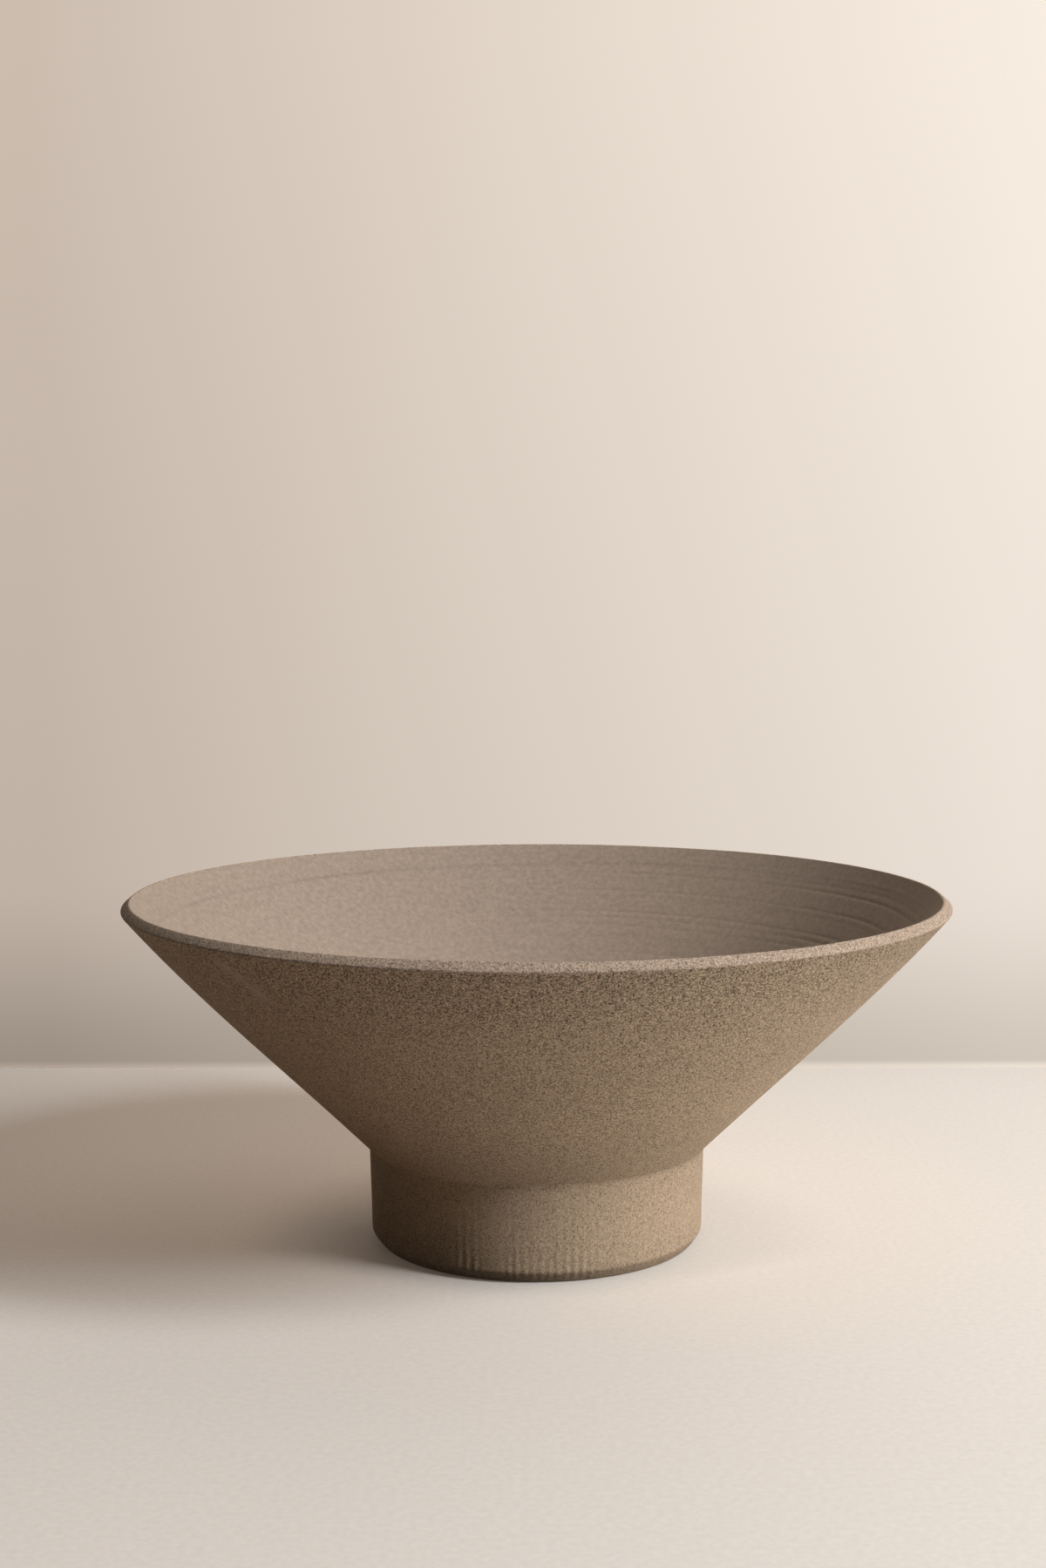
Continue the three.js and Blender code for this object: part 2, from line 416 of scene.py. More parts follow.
shift = add(wheel, "ShaderNodeMath", {0: ridge, 1: groove}, operation="SUBTRACT")
for part in (ripple, uneven):
    shift = add(wheel, "ShaderNodeMath", {0: shift, 1: part}, operation="ADD")
marked = add(wheel, "ShaderNodeVectorMath", {0: facing, "Scale": shift}, operation="SCALE")
marked = add(wheel, "ShaderNodeVectorMath", {0: marked, 1: around["here"]}, operation="ADD")
thrown_place = {"Vector": marked, "Rotation": spin}
thrown_place = add(wheel, "ShaderNodeVectorRotate", thrown_place, rotation_type="EULER_XYZ")

piece = grid
finish_marks = {name: mark[name] for name in ("along", "inside", "rim")}
finish_marks["scored"] = scored
for name, value in finish_marks.items():
    kept = {"Geometry": piece, "Name": name, "Value": value}
    piece = add(wheel, "GeometryNodeStoreNamedAttribute", kept, data_type="FLOAT", domain="POINT")
piece = add(wheel, "GeometryNodeSetPosition", {"Geometry": piece, "Position": thrown_place})
piece = add(wheel, "GeometryNodeMergeByDistance", {"Geometry": piece, "Distance": MERGE_REACH})
piece = add(wheel, "GeometryNodeSetShadeSmooth", {"Geometry": piece})
fold = add(wheel, "GeometryNodeInputMeshEdgeAngle").outputs["Unsigned Angle"]
sharp = add(wheel, "FunctionNodeCompare", {"A": fold, "B": SHARP_ANGLE}, operation="GREATER_THAN")
crisp = {"Geometry": piece, "Selection": sharp, "Shade Smooth": False}
piece = add(wheel, "GeometryNodeSetShadeSmooth", crisp, domain="EDGE")
piece = add(wheel, "GeometryNodeRealizeInstances", {"Geometry": piece})
piece = add(wheel, "GeometryNodeSetMaterial", {"Geometry": piece, "Material": given["Clay"]})
add(wheel, "NodeGroupOutput", {"Piece": piece})
print("wheel:", len(wheel.nodes), "nodes")

# %% [markdown]
# Colours are written as they look on a screen and turned to linear light by one function.

# %% Colour
def hex_linear(code):
    parts = [int(code[i : i + 2], 16) / 255 for i in (1, 3, 5)]
    return tuple(c / 12.92 if c <= 0.04045 else ((c + 0.055) / 1.055) ** 2.4 for c in parts) + (1.0,)


print("middle grey is", round(hex_linear("#808080")[0], 3), "in linear light")

# %% [markdown]
# Iron-speckled stoneware, fired without glaze. It is a sandy clay: matt, with a fine light and dark grain,
# and dark specks where iron grit has melted at the surface. Outside, the trimming tool has dragged the
# grit up, so specks are many, and most of all under the rim, where painted shade also darkens the clay.
# Inside, fingers have pressed the grit down, so it is smoother, greyer and softly mottled. The rim was cut
# and rubbed, so it has the fewest specks and looks palest. A pattern wrapped round the bowl would stretch,
# so these are drawn in the clay's own space, because grit runs all through it.

# %% The clay's grain, mottle and streaks
GRAIN_SIZE = 0.6 * MM
MOTTLE_SIZE = 2 * MM
CLOUD_SIZE = 38 * MM
STREAK_RADIUS = 150 * MM
STREAK_LENGTH = 40 * MM
STREAK_WIDTH = 2.2 * MM

clay = bpy.data.materials.new("speckled_stoneware")
clay.use_nodes = True
body = clay.node_tree
body.nodes.clear()
place = add(body, "ShaderNodeTexCoord").outputs["Object"]
height = add(body, "ShaderNodeSeparateXYZ", {0: place}).outputs["Z"]
read = {}
for name in finish_marks:
    read[name] = add(body, "ShaderNodeAttribute", attribute_name=name).outputs["Fac"]

# Sand grains outside, soft mottles inside, and clouds of colour a few centimetres wide.
grain = add(body, "ShaderNodeTexNoise", {"Vector": place, "Scale": 1 / GRAIN_SIZE, "Detail": 1.5})
mottle = add(body, "ShaderNodeTexNoise", {"Vector": place, "Scale": 1 / MOTTLE_SIZE, "Detail": 0.8})
cloud = add(body, "ShaderNodeTexNoise", {"Vector": place, "Scale": 1 / CLOUD_SIZE, "Detail": 2.0})

# Streaks that a finger leaves on the turning wheel: long round the bowl, narrow down the wall.
spoke = add(body, "ShaderNodeVectorMath", {0: place, 1: (1, 1, 0)}, operation="MULTIPLY")
spoke = add(body, "ShaderNodeVectorMath", {0: spoke}, operation="NORMALIZE")
spoke = {0: spoke, "Scale": STREAK_RADIUS / STREAK_LENGTH}
spoke = add(body, "ShaderNodeVectorMath", spoke, operation="SCALE")
down = add(body, "ShaderNodeMath", {0: read["along"], 1: STREAK_WIDTH}, operation="DIVIDE")
down = add(body, "ShaderNodeCombineXYZ", {"Z": down})
spun = add(body, "ShaderNodeVectorMath", {0: spoke, 1: down}, operation="ADD")
streak = add(body, "ShaderNodeTexNoise", {"Vector": spun, "Scale": 1.0, "Detail": 2.0})
print("grain", round(GRAIN_SIZE / MM, 1), "mm, mottles", round(MOTTLE_SIZE / MM, 1), "mm")

# %% [markdown]
# The specks are grains of crushed iron stone. Noise above a threshold would run together into worms, so a
# Voronoi texture is used, which gives one grain to a cell. The grit has two sizes, each grain its own,
# and it is sparser low down and on the rim. Heights in the ranges here and below are in metres.

# %% Iron specks
GRIT = (
    {"cell": 0.64 * MM, "smallest": 0.10, "largest": 0.50},
    {"cell": 1.16 * MM, "smallest": -0.25, "largest": 0.34},
)
CRUSH_SIZE = 0.8 * MM
RAGGED_REACH = 0.34 * MM
CROWDING = {1: 0.02, 2: 0.1, 3: 0.83, 4: 1.04}
UNDER_RIM = {1: 0.095, 2: 0.123, 3: 0.0, 4: 0.07}
INSIDE_CROWDING = 0.88
RIM_CROWDING = 0.78
SPECK_EDGE = {1: -0.12, 2: 0.16}

# Crushed grit is ragged, so noise moves the place before the cells are drawn.
crush = add(body, "ShaderNodeTexNoise", {"Vector": place, "Scale": 1 / CRUSH_SIZE, "Detail": 0.0})
ragged = {0: crush.outputs["Color"], 1: (NOISE_MIDDLE,) * 3}
ragged = add(body, "ShaderNodeVectorMath", ragged, operation="SUBTRACT")
ragged = add(body, "ShaderNodeVectorMath", {0: ragged, "Scale": RAGGED_REACH}, operation="SCALE")
ragged = add(body, "ShaderNodeVectorMath", {0: ragged, 1: place}, operation="ADD")
crowding = add(body, "ShaderNodeMapRange", {"Value": height, **CROWDING})
dense = add(body, "ShaderNodeMapRange", {"Value": height, **UNDER_RIM})
crowding = add(body, "ShaderNodeMath", {0: crowding, 1: dense}, operation="ADD")
crowding = add(body, "ShaderNodeMix", {"Factor": read["inside"], "A": crowding, "B": INSIDE_CROWDING})
crowding = add(body, "ShaderNodeMix", {"Factor": read["rim"], "A": crowding, "B": RIM_CROWDING})

# A cell whose grain would be smaller than nothing stays empty.
specks = 0.0
for size in GRIT:
    grit = add(body, "ShaderNodeTexVoronoi", {"Vector": ragged, "Scale": 1 / size["cell"]})
    chance = add(body, "ShaderNodeSeparateColor", {"Color": grit.outputs["Color"]})
    reach = {"Value": chance, 3: size["smallest"], 4: size["largest"]}
    reach = add(body, "ShaderNodeMapRange", reach)
    reach = add(body, "ShaderNodeMath", {0: reach, 1: crowding}, operation="MULTIPLY")
    within = {0: reach, 1: grit.outputs["Distance"]}
    within = add(body, "ShaderNodeMath", within, operation="SUBTRACT")
    speck = add(body, "ShaderNodeMapRange", {"Value": within, **SPECK_EDGE})
    specks = add(body, "ShaderNodeMath", {0: speck, 1: specks}, operation="MAXIMUM")
print("grit in", len(GRIT), "sizes")

# %% [markdown]
# How light the clay is from spot to spot is kept as one number, by which its colour is multiplied later.
# That keeps the hue steady, as it is in real clay. Outside, grains of sand make the number swing. Inside
# it is calmer, because fingers and water have closed the surface.

# %% How light and dark the clay is
SWING = {1: 0.03, 2: 0.06, 3: 1.25, 4: 2.4}
UNDER_RIM_SWING = 14.0
RIM_SWING = 2.2
# Painted shade: the foot, which lies under the cone, is darker than the wall above it.
LOW_SHADE = {1: 0.034, 2: 0.06, 3: 0.86, 4: 1.04}
# Painted shade: a band just under the rim is darker. On the rim itself the rim's own tone takes its place.
UNDER_RIM_SHADE = {1: 0.095, 2: 0.123, 3: 1.0, 4: 0.87}
RIM_LIGHT = 0.95
PRESSED = {1: 0.25, 2: 0.75, 3: 0.9, 4: 1.1}
FINGERED = {1: 0.25, 2: 0.75, 3: 0.98, 4: 1.02}
# Painted shade: the scored line is darker in colour, as shade in its shallow groove.
SCORED_SHADE = -0.12

# Outside, the grain swings more the higher it lies. Painted shade darkens the clay low down, on the foot
# under the cone, and in a band under the rim.
swing = add(body, "ShaderNodeMapRange", {"Value": height, **SWING})
swing = add(body, "ShaderNodeMath", {0: dense, 1: UNDER_RIM_SWING, 2: swing}, operation="MULTIPLY_ADD")
swing = add(body, "ShaderNodeMix", {"Factor": read["rim"], "A": swing, "B": RIM_SWING})
sandy = add(body, "ShaderNodeMath", {0: grain, 1: NOISE_MIDDLE}, operation="SUBTRACT")
sandy = add(body, "ShaderNodeMath", {0: sandy, 1: swing, 2: 1.0}, operation="MULTIPLY_ADD")
low_shade = add(body, "ShaderNodeMapRange", {"Value": height, **LOW_SHADE})
under_rim_shade = add(body, "ShaderNodeMapRange", {"Value": height, **UNDER_RIM_SHADE})
under_rim_shade = add(body, "ShaderNodeMix", {"Factor": read["rim"], "A": under_rim_shade, "B": RIM_LIGHT})
# Here the painted shade of the foot and of the band under the rim darkens the outside.
for share in (low_shade, under_rim_shade):
    sandy = add(body, "ShaderNodeMath", {0: sandy, 1: share}, operation="MULTIPLY")

# Inside, mottles and streaks are faint, and the scored line is painted a little darker, as shade in its
# groove.
pressed = add(body, "ShaderNodeMapRange", {"Value": mottle, **PRESSED})
fingers_and_groove_shade = add(body, "ShaderNodeMapRange", {"Value": streak, **FINGERED})
fingers_and_groove_shade = add(body, "ShaderNodeMath", {0: fingers_and_groove_shade, 1: pressed}, operation="MULTIPLY")
fingers_and_groove_shade = {0: read["scored"], 1: SCORED_SHADE, 2: fingers_and_groove_shade}
fingers_and_groove_shade = add(body, "ShaderNodeMath", fingers_and_groove_shade, operation="MULTIPLY_ADD")
light = add(body, "ShaderNodeMix", {"Factor": read["inside"], "A": sandy, "B": fingers_and_groove_shade})
light = add(body, "ShaderNodeCombineColor", {0: light, 1: light, 2: light})
print("the cone's grain swings", round(SWING[4] / SWING[3], 1), "times as much as the foot's")

# %% [markdown]
# The colours are mixed in the order in which they lie: clay, greyer inside and on the rim, then how light
# it is, and the brown of the iron on top. Iron is deepest under the rim and faint inside.

# %% The clay's colours
OUTSIDE_CLAY = ("#bba48b", "#c7af94")
INSIDE_CLAY = "#ad9b8b"
RIM_CLAY = "#b5a08d"
IRON = "#48331f"
IRON_DEPTH = {1: 0.03, 2: 0.06, 3: 0.68, 4: 0.82}
UNDER_RIM_IRON = 2.0
INSIDE_IRON = 0.26

sides = {"Factor": cloud, "A": hex_linear(OUTSIDE_CLAY[0]), "B": hex_linear(OUTSIDE_CLAY[1])}
colour = add(body, "ShaderNodeMix", sides, data_type="RGBA")
hollow = {"Factor": read["inside"], "A": colour, "B": hex_linear(INSIDE_CLAY)}
colour = add(body, "ShaderNodeMix", hollow, data_type="RGBA")
rubbed = {"Factor": read["rim"], "A": colour, "B": hex_linear(RIM_CLAY)}
colour = add(body, "ShaderNodeMix", rubbed, data_type="RGBA")
shaded = {"Factor": 1.0, "A": colour, "B": light}
colour = add(body, "ShaderNodeMix", shaded, data_type="RGBA", blend_type="MULTIPLY")
iron = add(body, "ShaderNodeMapRange", {"Value": height, **IRON_DEPTH})
iron = add(body, "ShaderNodeMath", {0: dense, 1: UNDER_RIM_IRON, 2: iron}, operation="MULTIPLY_ADD")
iron = add(body, "ShaderNodeMix", {"Factor": read["inside"], "A": iron, "B": INSIDE_IRON})
iron = add(body, "ShaderNodeMath", {0: specks, 1: iron}, operation="MULTIPLY")
specked = {"Factor": iron, "A": colour, "B": hex_linear(IRON)}
colour = add(body, "ShaderNodeMix", specked, data_type="RGBA")
print("clay", OUTSIDE_CLAY, "outside,", INSIDE_CLAY, "inside,", RIM_CLAY, "on the rim")

# %% [markdown]
# At the front left, below the rim, is a pale smear, as a finger wet with slip leaves it. A thin piece laid
# on top would have an edge, so the clay itself pales with its nearness to a short line on the wall.

# %% A pale smear of slip below the rim
SMEAR_START = Vector((-101, -105.5, 120)) * MM
SMEAR_END = Vector((-87, -104, 108.5)) * MM
SMEAR = {1: 5 * MM, 2: 0.0, 3: 0.0, 4: 0.5}
SMEAR_CLAY = "#cdb9a3"

run = SMEAR_END - SMEAR_START
gap = add(body, "ShaderNodeVectorMath", {0: place, 1: SMEAR_START}, operation="SUBTRACT")
share = {0: gap, 1: run / run.length_squared}
share = add(body, "ShaderNodeVectorMath", share, operation="DOT_PRODUCT").outputs["Value"]
share = add(body, "ShaderNodeClamp", {"Value": share})
nearest = add(body, "ShaderNodeVectorMath", {0: run, "Scale": share}, operation="SCALE")
gap = add(body, "ShaderNodeVectorMath", {0: gap, 1: nearest}, operation="DISTANCE").outputs["Value"]
smear = add(body, "ShaderNodeMapRange", {"Value": gap, **SMEAR}, interpolation_type="SMOOTHSTEP")
smeared = {"Factor": smear, "A": colour, "B": hex_linear(SMEAR_CLAY)}
colour = add(body, "ShaderNodeMix", smeared, data_type="RGBA")
print("smear", round(run.length / MM), "mm long")

# %% [markdown]
# Unglazed clay is rough, so it has hardly any gloss. Grit stands a few hundredths of a millimetre proud of
# it, specks lie in small pits, and the inside is smoother. That is too fine for a mesh, so it is bump.

# %% The clay's relief and finish
PIT = -0.5
MOTTLE_RELIEF = 0.35
STREAK_RELIEF = 0.2
RELIEF = {"Strength": 0.6, "Distance": 0.12 * MM}
ROUGHNESS = {3: 0.8, 4: 0.95}
GLOSS = 0.3

relief = add(body, "ShaderNodeMath", {0: specks, 1: PIT, 2: grain}, operation="MULTIPLY_ADD")
soft = add(body, "ShaderNodeMath", {0: mottle, 1: MOTTLE_RELIEF}, operation="MULTIPLY")
soft = add(body, "ShaderNodeMath", {0: streak, 1: STREAK_RELIEF, 2: soft}, operation="MULTIPLY_ADD")
relief = add(body, "ShaderNodeMix", {"Factor": read["inside"], "A": relief, "B": soft})
bump = add(body, "ShaderNodeBump", {"Height": relief, **RELIEF})
rough = add(body, "ShaderNodeMapRange", {"Value": grain, **ROUGHNESS})
finish = {"Base Color": colour, "Roughness": rough, "Normal": bump, "Specular IOR Level": GLOSS}
shader = add(body, "ShaderNodeBsdfPrincipled", finish)
add(body, "ShaderNodeOutputMaterial", {"Surface": shader})
print("clay:", len(body.nodes), "nodes")

# %% [markdown]
# Throwing. Each section becomes a row of loose points with its values stored on them, the wheel turns it,
# and the result is kept as a plain mesh that stands for the solid of the same piece. Ridges come in a
# little way below the lip and out from the middle, and the chatter grows towards the foot's lower edge.

# %% What each row carries
MIDDLE_CALM = (4, 14)
LIP_CALM = (3, 10)
SEAT_CALM = (50, 44)
HIGH_CHATTER = (36, 20)
LOW_CHATTER = (15, 6)
HIGH_SHARE = 0.4
LOW_SHARE = 0.8


def smooth(low, high, value):
    share = min(max((value - low) / (high - low), 0), 1)
    return share * share * (3 - 2 * share)


def row_values(place, surface, along):
    middle = smooth(*MIDDLE_CALM, place.x)
    lines = {"inside": middle * smooth(*LIP_CALM, along), "under": middle * smooth(*SEAT_CALM, place.x)}
    chatter = HIGH_SHARE * smooth(*HIGH_CHATTER, place.y) + LOW_SHARE * smooth(*LOW_CHATTER, place.y)
    return {
        "along": along * MM,
        "line": lines.get(surface, 0),
        "groove": 1 if surface == "inside" else 0,
        "ripple": chatter if surface == "outside" else 0,
        "free": 1 if surface in ("outside", "rim", "inside") else 0,
        "inside": 1 if surface == "inside" else 0,
        "rim": 1 if surface == "rim" else 0,
    }


print("chatter at the foot's edge:", round(row_values(chamfer_top, "outside", 0)["ripple"], 2))

# %% The function that throws a piece
BODY = "root"


def throw(name, node, section, inputs):
    mesh = bpy.data.meshes.new(name + "_section")
    mesh.from_pydata([(p.x * MM, 0, p.y * MM) for p, surface in section], [], [])
    values = []
    along = 0
    for i, (place, surface) in enumerate(section):
        first = i == 0 or surface != section[i - 1][1]
        along = 0 if first else along + (place - section[i - 1][0]).length
        values.append(row_values(place, surface, along))
    for key in ROW_VALUES:
        layer = mesh.attributes.new(key, "FLOAT", "POINT")
        layer.data.foreach_set("value", [float(v[key]) for v in values])
    piece = bpy.data.objects.new(name, mesh)
    bpy.context.scene.collection.objects.link(piece)
    modifier = piece.modifiers.new("wheel", "NODES")
    modifier.node_group = wheel
    for key, value in inputs.items():
        modifier[sockets[key].identifier] = value
    evaluated = piece.evaluated_get(bpy.context.evaluated_depsgraph_get())
    thrown = bpy.data.meshes.new_from_object(evaluated)
    piece.modifiers.clear()
    piece.data = thrown
    thrown.name = name
    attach(piece, BODY)
    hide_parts(node)
    print(name, len(thrown.polygons), "faces", [round(v / MM, 1) for v in piece.dimensions], "mm")


# %% Throw the three pieces
bowl_marks = {
    "Columns": 288,
    "Line pitch": 5.2 * MM,
    "Line depth": 0.18 * MM,
    "Groove place": 9.6 * MM,
    "Groove lean": 3.2 * MM,
    "Groove width": 0.8 * MM,
    "Groove depth": 0.05 * MM,
    "Ripples": 0.0,
    "Ripple depth": 0.0,
    "Unevenness": 0.4 * MM,
    "Clay": clay,
}
foot_marks = dict(bowl_marks)
foot_marks.update({"Columns": 900, "Line depth": 0.0, "Groove depth": 0.0})
foot_marks.update({"Ripples": 128.0, "Ripple depth": 0.07 * MM})
slip_marks = dict(bowl_marks)
slip_marks.update({"Line depth": 0.0, "Groove depth": 0.0, "Unevenness": 0.0})
throw("thrown_bowl", "bowl", bowl_rows, bowl_marks)
throw("thrown_foot_ring", "foot_ring", foot_rows, foot_marks)
throw("luting_slip", "slip_joint", slip_rows, slip_marks)

# %% [markdown]
# The bowl stands on a pale board with matt paint, which is lit as it is and takes its shadow. Only light
# that bounces finds it darker: brown at the left, as if a card lay there to keep the bowl's left side in
# shade, and nearly black round the foot, so that the line under its edge stays dark. A faint warm glow,
# for the eye alone, lifts the board away from the foot. The board is clear from below, so that the
# underside can be looked at.

# %% Helpers for what stands round the bowl
def stage_plane(name, corners, material):
    mesh = bpy.data.meshes.new(name)
    mesh.from_pydata(corners, [], [(0, 1, 2, 3)])
    mesh.materials.append(material)
    plane = bpy.data.objects.new(name, mesh)
    bpy.context.scene.collection.objects.link(plane)
    print(name, [round(v, 2) for v in plane.dimensions], "m")


def eye_rays(tree):
    path = add(tree, "ShaderNodeLightPath").outputs
    seen = {0: path["Is Camera Ray"], 1: path["Is Glossy Ray"]}
    seen = add(tree, "ShaderNodeMath", seen, operation="MAXIMUM")
    return add(tree, "ShaderNodeMath", {0: seen, 1: path["Is Transmission Ray"]}, operation="MAXIMUM")


# %% Board: what the light that bounces finds
BOARD_PAINT = ("#d3d0cb", "#e6e4e0")
TOOTH_SIZE = 2.2 * MM
CARD_BROWN = "#6f5230"
CARD = {1: 0.03, 2: -0.06, 3: 0.0, 4: 0.98}
CARD_END = {1: -0.2, 2: -0.4, 3: 1.0, 4: 0.0}
CONTACT_BLACK = "#080402"
CONTACT = {1: 0.068, 2: 0.086, 3: 1.0, 4: 0.0}
CONTACT_SIDE = {1: 0.06, 2: -0.03, 3: 0.3, 4: 1.0}

board = bpy.data.materials.new("painted_board")
board.use_nodes = True
paint = board.node_tree
paint.nodes.clear()
spot = add(paint, "ShaderNodeTexCoord").outputs["Object"]
spread = add(paint, "ShaderNodeSeparateXYZ", {0: spot}).outputs
from_axis = add(paint, "ShaderNodeVectorMath", {0: spot}, operation="LENGTH").outputs["Value"]
tooth = add(paint, "ShaderNodeTexNoise", {"Vector": spot, "Scale": 1 / TOOTH_SIZE, "Detail": 2.0})
coat = {"Factor": tooth, "A": hex_linear(BOARD_PAINT[0]), "B": hex_linear(BOARD_PAINT[1])}
coat = add(paint, "ShaderNodeMix", coat, data_type="RGBA")

card = add(paint, "ShaderNodeMapRange", {"Value": spread["X"], **CARD})
card_end = add(paint, "ShaderNodeMapRange", {"Value": spread["X"], **CARD_END})
card = add(paint, "ShaderNodeMath", {0: card, 1: card_end}, operation="MULTIPLY")
contact = add(paint, "ShaderNodeMapRange", {"Value": from_axis, **CONTACT})
contact_side = add(paint, "ShaderNodeMapRange", {"Value": spread["X"], **CONTACT_SIDE})
contact = add(paint, "ShaderNodeMath", {0: contact, 1: contact_side}, operation="MULTIPLY")
bounced = add(paint, "ShaderNodeLightPath").outputs["Is Diffuse Ray"]
for amount, dark in ((card, CARD_BROWN), (contact, CONTACT_BLACK)):
    amount = add(paint, "ShaderNodeMath", {0: amount, 1: bounced}, operation="MULTIPLY")
    darker = {"Factor": amount, "A": coat, "B": hex_linear(dark)}
    coat = add(paint, "ShaderNodeMix", darker, data_type="RGBA")
print("board is dark to bounced light within", CONTACT[2], "m of the axis")

# %% Board: the glow, and the plane itself
GLOW_COLOUR = "#ffe2ca"
GLOW_START = 0.057
GLOW_END = {"A": 0.12, "B": 0.08}
GLOW = {3: 0.05, 4: 0.172}
FRONT = {1: -0.02, 2: -0.055}
BOARD_ROUGHNESS = 0.8
BOARD_REACH = 4.0

front = add(paint, "ShaderNodeMapRange", {"Value": spread["Y"], **FRONT})
glow_end = add(paint, "ShaderNodeMix", {"Factor": front, **GLOW_END})
glow = {"Value": from_axis, 1: GLOW_START, 2: glow_end, **GLOW}
glow = add(paint, "ShaderNodeMapRange", glow, interpolation_type="SMOOTHSTEP")
glow = add(paint, "ShaderNodeMath", {0: glow, 1: eye_rays(paint)}, operation="MULTIPLY")
painted = {"Base Color": coat, "Roughness": BOARD_ROUGHNESS}
painted.update({"Emission Color": hex_linear(GLOW_COLOUR), "Emission Strength": glow})
painted = add(paint, "ShaderNodeBsdfPrincipled", painted)
below = add(paint, "ShaderNodeNewGeometry").outputs["Backfacing"]
clear = add(paint, "ShaderNodeBsdfTransparent")
top_side = add(paint, "ShaderNodeMixShader", {0: below, 1: painted, 2: clear})
add(paint, "ShaderNodeOutputMaterial", {"Surface": top_side})
board.cycles.emission_sampling = "NONE"
r = BOARD_REACH
stage_plane("board", [(-r, -r, 0), (r, -r, 0), (r, r, 0), (-r, r, 0)], board)

# %% [markdown]
# The wall behind glows softly by itself, brighter towards the lamp's side and dimmer near the board, with
# a thin bright line where the two meet. It gives the bowl light as a real wall would, but hardly any from
# the left, which lies in shade. It is clear from behind, and lets the light of a lamp behind it through,
# so that the bowl's back can be looked at.

# %% Wall: its look
WALL_SIDE = {1: -0.24, 2: 0.24}
WALL_LOW = ("#9a8d82", "#d0c5b9")
WALL_HIGH = ("#c0b2a5", "#ebe0d5")
WALL_RISE = {1: -0.01, 2: 0.1}
WALL_UPPER = {1: 0.08, 2: 0.5, 3: 1.0, 4: 1.14}
WALL_FOOT = {1: 0.0, 2: 0.004, 3: 1.35, 4: 1.0}

plaster = bpy.data.materials.new("pale_wall")
plaster.use_nodes = True
wall = plaster.node_tree
wall.nodes.clear()
spot = add(wall, "ShaderNodeTexCoord").outputs["Object"]
spread = add(wall, "ShaderNodeSeparateXYZ", {0: spot}).outputs
side = add(wall, "ShaderNodeMapRange", {"Value": spread["X"], **WALL_SIDE})
bands = []
for dim, bright in (WALL_LOW, WALL_HIGH):
    band = {"Factor": side, "A": hex_linear(dim), "B": hex_linear(bright)}
    bands.append(add(wall, "ShaderNodeMix", band, data_type="RGBA"))
up = {"Value": spread["Z"], **WALL_RISE}
up = add(wall, "ShaderNodeMapRange", up, interpolation_type="SMOOTHSTEP")
tint = add(wall, "ShaderNodeMix", {"Factor": up, "A": bands[0], "B": bands[1]}, data_type="RGBA")
upper = add(wall, "ShaderNodeMapRange", {"Value": spread["Z"], **WALL_UPPER})
foot = {"Value": spread["Z"], **WALL_FOOT}
foot = add(wall, "ShaderNodeMapRange", foot, interpolation_type="SMOOTHSTEP")
strength = add(wall, "ShaderNodeMath", {0: upper, 1: foot}, operation="MULTIPLY")
print("wall is darkest below", WALL_RISE[2], "m")

# %% Wall: the light it gives, and the plane itself
WALL_PLACE = 0.276
WALL_WIDE = 3.0
WALL_TALL = 2.5
GIVES = {1: -0.32, 2: -0.22, 3: 0.0, 4: 0.75}
GIVES_FAR = {1: -0.7, 2: -1.0, 3: 0.0, 4: 0.3}
GIVES_UPPER = {1: 0.5, 2: 0.8, 3: 1.0, 4: 0.6}

gives = add(wall, "ShaderNodeMapRange", {"Value": spread["X"], **GIVES})
gives_far = add(wall, "ShaderNodeMapRange", {"Value": spread["X"], **GIVES_FAR})
gives_upper = add(wall, "ShaderNodeMapRange", {"Value": spread["Z"], **GIVES_UPPER})
gives = add(wall, "ShaderNodeMath", {0: gives, 1: gives_far}, operation="MAXIMUM")
gives = add(wall, "ShaderNodeMath", {0: gives, 1: gives_upper}, operation="MULTIPLY")
gives = add(wall, "ShaderNodeMix", {"Factor": eye_rays(wall), "A": gives, "B": 1.0})
strength = add(wall, "ShaderNodeMath", {0: strength, 1: gives}, operation="MULTIPLY")
lit = add(wall, "ShaderNodeEmission", {"Color": tint, "Strength": strength})
behind = add(wall, "ShaderNodeNewGeometry").outputs["Backfacing"]
shadow = add(wall, "ShaderNodeLightPath").outputs["Is Shadow Ray"]
through = add(wall, "ShaderNodeMath", {0: behind, 1: shadow}, operation="MAXIMUM")
clear = add(wall, "ShaderNodeBsdfTransparent")
front_side = add(wall, "ShaderNodeMixShader", {0: through, 1: lit, 2: clear})
add(wall, "ShaderNodeOutputMaterial", {"Surface": front_side})
w, y, t = WALL_WIDE, WALL_PLACE, WALL_TALL
stage_plane("wall", [(-w, y, 0), (w, y, 0), (w, y, t), (-w, y, t)], plaster)

# %% [markdown]
# One soft lamp stands to the right, a little towards the viewer and about 35 degrees up, tall like a
# window. The edge of the shadow on the board gives its size, and the shadow's length its height. Two weak
# lamps are there for other views. One is low behind the bowl, below the rim, so that it lights the back
# and not the inside. One is in the hollow of the foot and shines down on the board, which sends a little
# light back up, so that the underside is dim but not black.

# %% Lamps
AIM = Vector((0, 0, 60)) * MM
WINDOW_AZIMUTH = math.radians(-30)
WINDOW_HEIGHT = math.radians(35.5)
WINDOW_DISTANCE = 1.9
WINDOW = {"width": 0.4, "tall": 0.85, "power": 34.0}
BACK_PLACE = Vector((0.05, 1.4, 0.05))
BACK_AIM = Vector((0, 0, 0.05))
BACK = {"width": 0.4, "tall": 0.08, "power": 7.0}
BACK_COLOUR = "#fff4e8"
HOLLOW_PLACE = Vector((0, 0, 0.5)) * MM
HOLLOW_AIM = Vector((0, 0, -1))
HOLLOW = {"width": 0.05, "tall": 0.05, "power": 0.03}


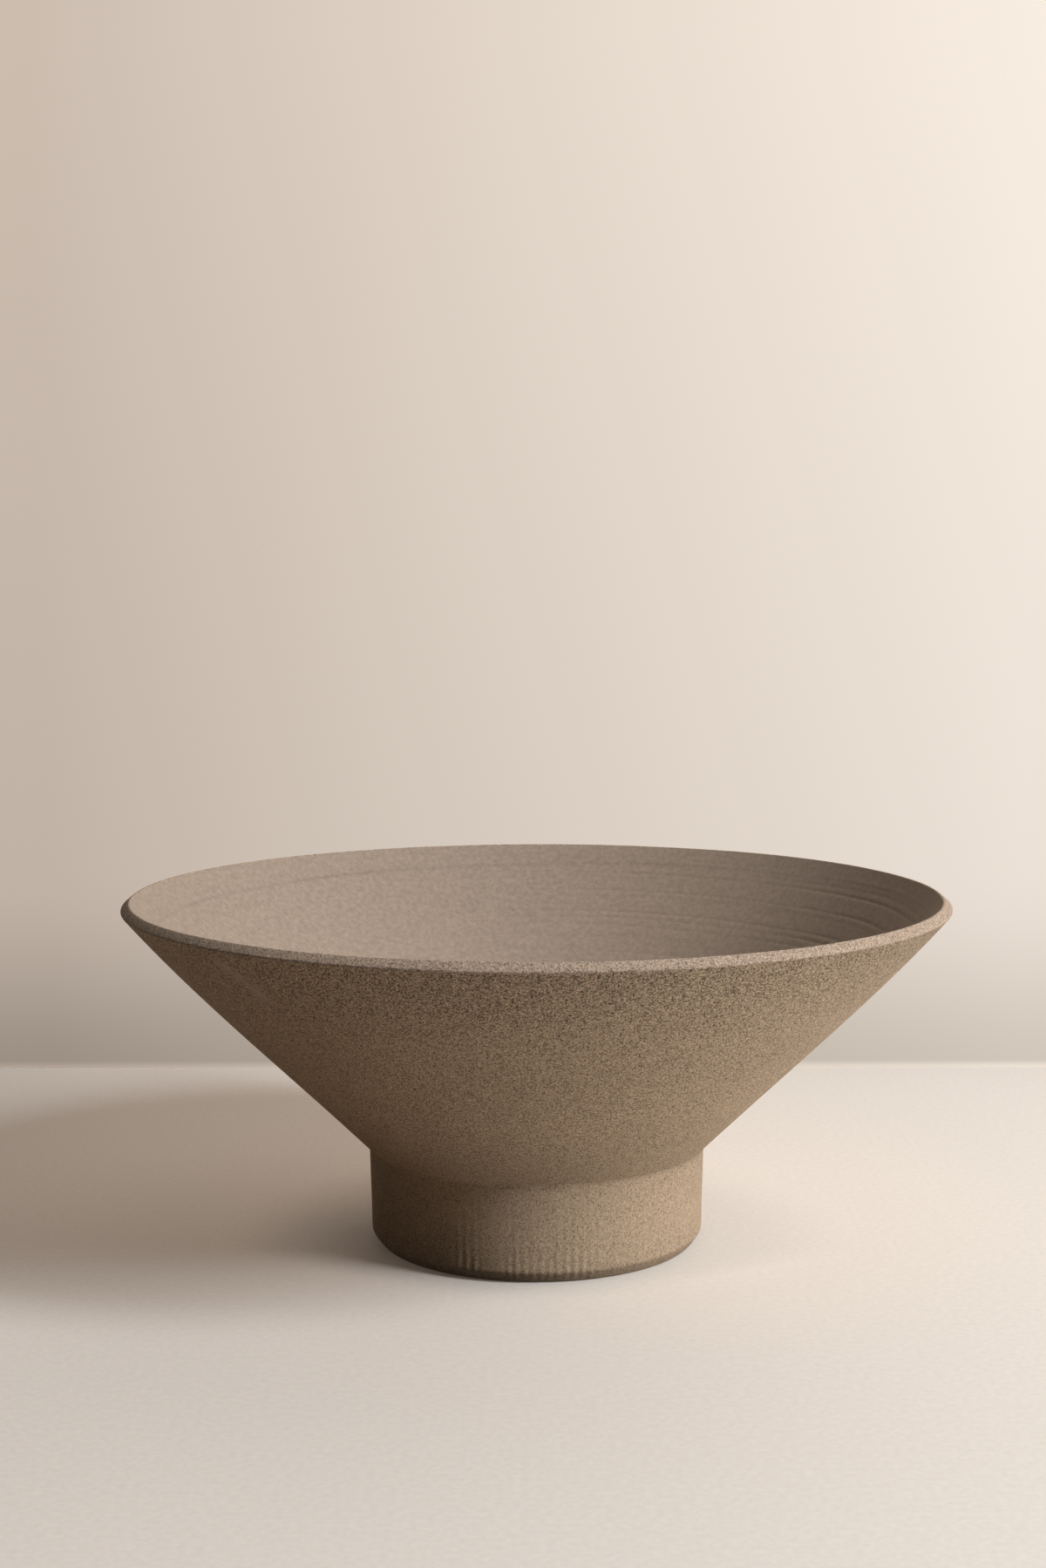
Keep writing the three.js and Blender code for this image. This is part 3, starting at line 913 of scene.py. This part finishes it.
def soft_lamp(name, place, target, width, tall, power):
    lamp = bpy.data.objects.new(name, bpy.data.lights.new(name, "AREA"))
    lamp.data.shape = "RECTANGLE"
    lamp.data.size = width
    lamp.data.size_y = tall
    lamp.data.energy = power
    lamp.location = place
    lamp.rotation_euler = (place - target).to_track_quat("Z", "Y").to_euler()
    bpy.context.scene.collection.objects.link(lamp)
    print(name, power, "W at", [round(v, 2) for v in place], "m")
    return lamp


level = math.cos(WINDOW_HEIGHT)
away = Vector((level * math.cos(WINDOW_AZIMUTH), level * math.sin(WINDOW_AZIMUTH), 0))
away.z = math.sin(WINDOW_HEIGHT)
soft_lamp("window_lamp", AIM + away * WINDOW_DISTANCE, AIM, **WINDOW)
back_lamp = soft_lamp("back_lamp", BACK_PLACE, BACK_AIM, **BACK)
back_lamp.data.color = hex_linear(BACK_COLOUR)[:3]
back_lamp.visible_glossy = False
soft_lamp("hollow_lamp", HOLLOW_PLACE, HOLLOW_AIM, **HOLLOW)

# %% [markdown]
# The room adds a little light from above, more of it from the lamp's side. A world colour alone would
# light all sides alike. To the eye the room is a plain pale backdrop.

# %% Room light
ROOM_LIGHT = "#fbf6f0"
ROOM_STRENGTH = {3: 0.0, 4: 0.04}
ROOM_LEAN = 0.25
BACKDROP = "#ded4ca"

world = bpy.data.worlds.new("room")
world.use_nodes = True
bpy.context.scene.world = world
room = world.node_tree
room.nodes.clear()
ray = add(room, "ShaderNodeTexCoord").outputs["Generated"]
ray = add(room, "ShaderNodeSeparateXYZ", {0: ray}).outputs
overhead = {0: ray["X"], 1: ROOM_LEAN, 2: ray["Z"]}
overhead = add(room, "ShaderNodeMath", overhead, operation="MULTIPLY_ADD")
overhead = add(room, "ShaderNodeMapRange", {"Value": overhead, **ROOM_STRENGTH})
ceiling = add(room, "ShaderNodeBackground", {"Color": hex_linear(ROOM_LIGHT), "Strength": overhead})
backdrop = add(room, "ShaderNodeBackground", {"Color": hex_linear(BACKDROP), "Strength": 1.0})
mixed = add(room, "ShaderNodeMixShader", {0: eye_rays(room), 1: ceiling, 2: backdrop})
add(room, "ShaderNodeOutputWorld", {"Surface": mixed})
bpy.context.scene.view_settings.view_transform = "Standard"
print("room light", ROOM_STRENGTH[4], "at most")
